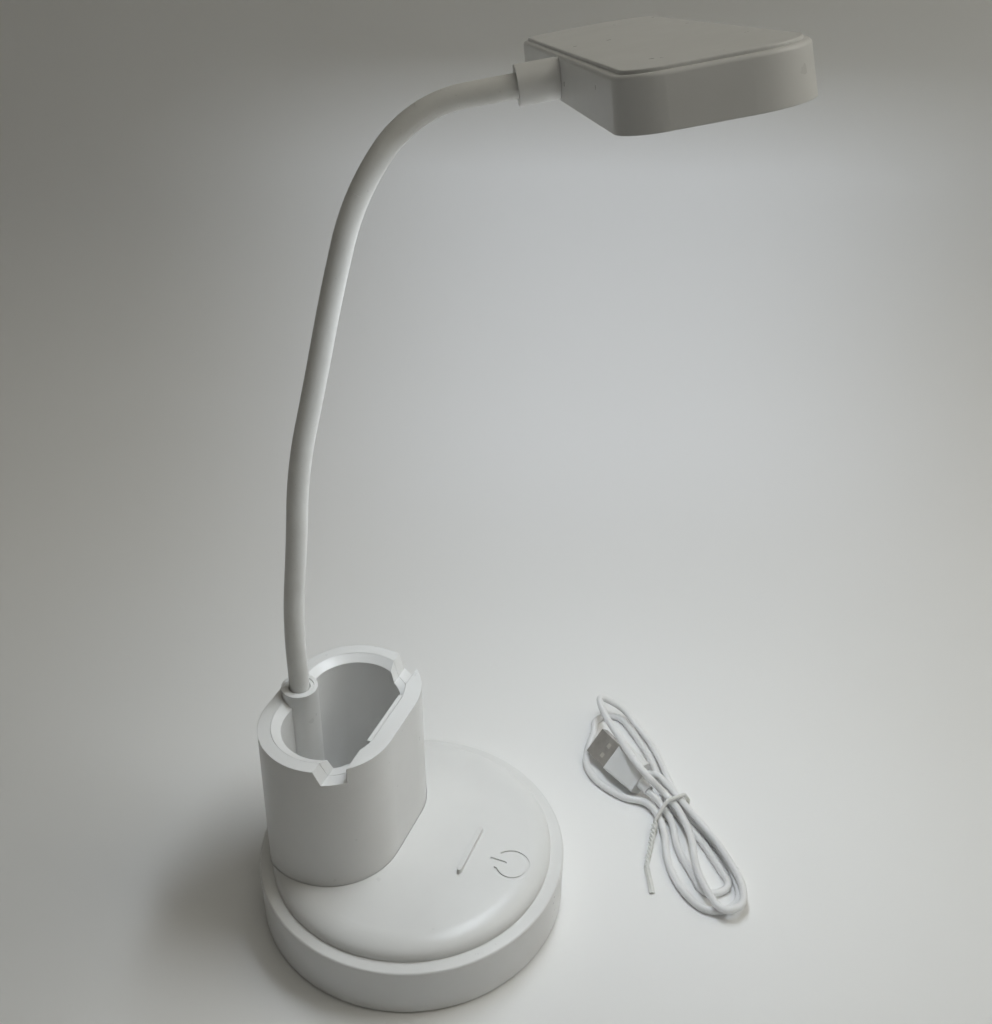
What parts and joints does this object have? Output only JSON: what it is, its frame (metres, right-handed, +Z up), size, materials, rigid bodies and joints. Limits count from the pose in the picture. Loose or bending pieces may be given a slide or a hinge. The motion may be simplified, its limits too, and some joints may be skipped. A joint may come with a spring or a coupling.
{
  "type": "desk lamp with phone holder",
  "caption": "Desk lamp with a flat bar-shaped light head on a flexible neck, and a round base whose oblong pen cup has a slot that holds a phone.",
  "frame": {"origin": "centre of the round base's underside, where it rests on the table", "axes": "+Z up; -Y is the front, where the touch symbol is; the oblong cup's long side lies along X"},
  "size_m": [0.2211, 0.181, 0.3167],
  "materials": {
    "white_plastic": "satin",
    "white_silicone": "matte",
    "foot_rubber": "matte",
    "steel": "satin",
    "cast_iron": "rough",
    "battery_wrap": "gloss",
    "board_green": "matte",
    "copper": "satin",
    "aluminium": "satin",
    "led_yellow": "gloss",
    "diffuser_white": "satin",
    "cord_white": "satin",
    "plug_metal": "satin",
    "tongue_white": "matte",
    "tie_white": "gloss"
  },
  "bodies": {
    "base": {"base_dome": "white_plastic", "base_housing": "white_plastic", "battery": "battery_wrap", "battery_cradle": "white_plastic", "board_screws": "steel", "boss_bush": "white_plastic", "bottom_plate": "white_plastic", "bottom_screws": "steel", "charge_socket": "plug_metal", "control_board": "board_green", "counterweight": "cast_iron", "device_plug_body": "white_plastic", "device_plug_tip": "plug_metal", "foot_pad": "foot_rubber", "holder_cup": "white_plastic", "holder_screws": "steel", "holder_shell": "white_plastic", "lead_hank": "cord_white", "neck_core_0": "steel", "neck_ferrule": "steel", "neck_nut": "steel", "neck_sleeve_0": "white_silicone", "touch_electrode": "copper", "twist_tie": "tie_white", "usb_moulding": "white_plastic", "usb_relief": "cord_white", "usb_shell": "plug_metal", "usb_tongue": "tongue_white"},
    "neck_1": {"neck_core_1": "steel", "neck_sleeve_1": "white_silicone"},
    "neck_2": {"neck_core_2": "steel", "neck_sleeve_2": "white_silicone"},
    "neck_3": {"neck_core_3": "steel", "neck_sleeve_3": "white_silicone"},
    "neck_4": {"neck_core_4": "steel", "neck_sleeve_4": "white_silicone"},
    "neck_5": {"neck_core_5": "steel", "neck_sleeve_5": "white_silicone"},
    "neck_6": {"neck_core_6": "steel", "neck_sleeve_6": "white_silicone"},
    "neck_7": {"neck_core_7": "steel", "neck_sleeve_7": "white_silicone"},
    "head": {"neck_core_8": "steel", "neck_sleeve_8": "white_silicone", "head_shell": "white_plastic", "head_cover": "white_plastic", "diffuser": "diffuser_white", "led_board": "aluminium", "leds": "led_yellow", "head_screws": "steel", "reflector": "white_plastic", "head_collar": "white_plastic", "collar_nut": "steel"}
  },
  "joints": [
    {"name": "neck_bend_1", "type": "hinge", "parent": "base", "child": "neck_1", "pos_m": [0, 0.0435, 0.10055], "axis": [0.5736, 0.8192, 0], "range_deg": [-20, 20]},
    {"name": "neck_sway_1", "type": "hinge", "parent": "neck_1", "child": "neck_2", "pos_m": [0.00126, 0.04219, 0.13028], "axis": [-0.6895, 0.714, 0.1219], "range_deg": [-20, 20]},
    {"name": "neck_bend_2", "type": "hinge", "parent": "neck_2", "child": "neck_3", "pos_m": [0.00424, 0.04029, 0.15986], "axis": [0.3256, 0.9455, 0], "range_deg": [-20, 20]},
    {"name": "neck_sway_2", "type": "hinge", "parent": "neck_3", "child": "neck_4", "pos_m": [0.00967, 0.03739, 0.18898], "axis": [-0.811, 0.5068, 0.2924], "range_deg": [-20, 20]},
    {"name": "neck_bend_3", "type": "hinge", "parent": "neck_4", "child": "neck_5", "pos_m": [0.01692, 0.03302, 0.21755], "axis": [0.5, 0.866, 0], "range_deg": [-20, 20]},
    {"name": "neck_sway_3", "type": "hinge", "parent": "neck_5", "child": "neck_6", "pos_m": [0.02361, 0.02794, 0.24613], "axis": [-0.6879, 0.6643, 0.2924], "range_deg": [-20, 20]},
    {"name": "neck_bend_4", "type": "hinge", "parent": "neck_6", "child": "neck_7", "pos_m": [0.03434, 0.01854, 0.27205], "axis": [0.6428, 0.766, 0], "range_deg": [-20, 20]},
    {"name": "neck_sway_4", "type": "hinge", "parent": "neck_7", "child": "head", "pos_m": [0.04935, -0.00171, 0.28657], "axis": [-0.0783, 0.1492, 0.9857], "range_deg": [-20, 20]}
  ]
}
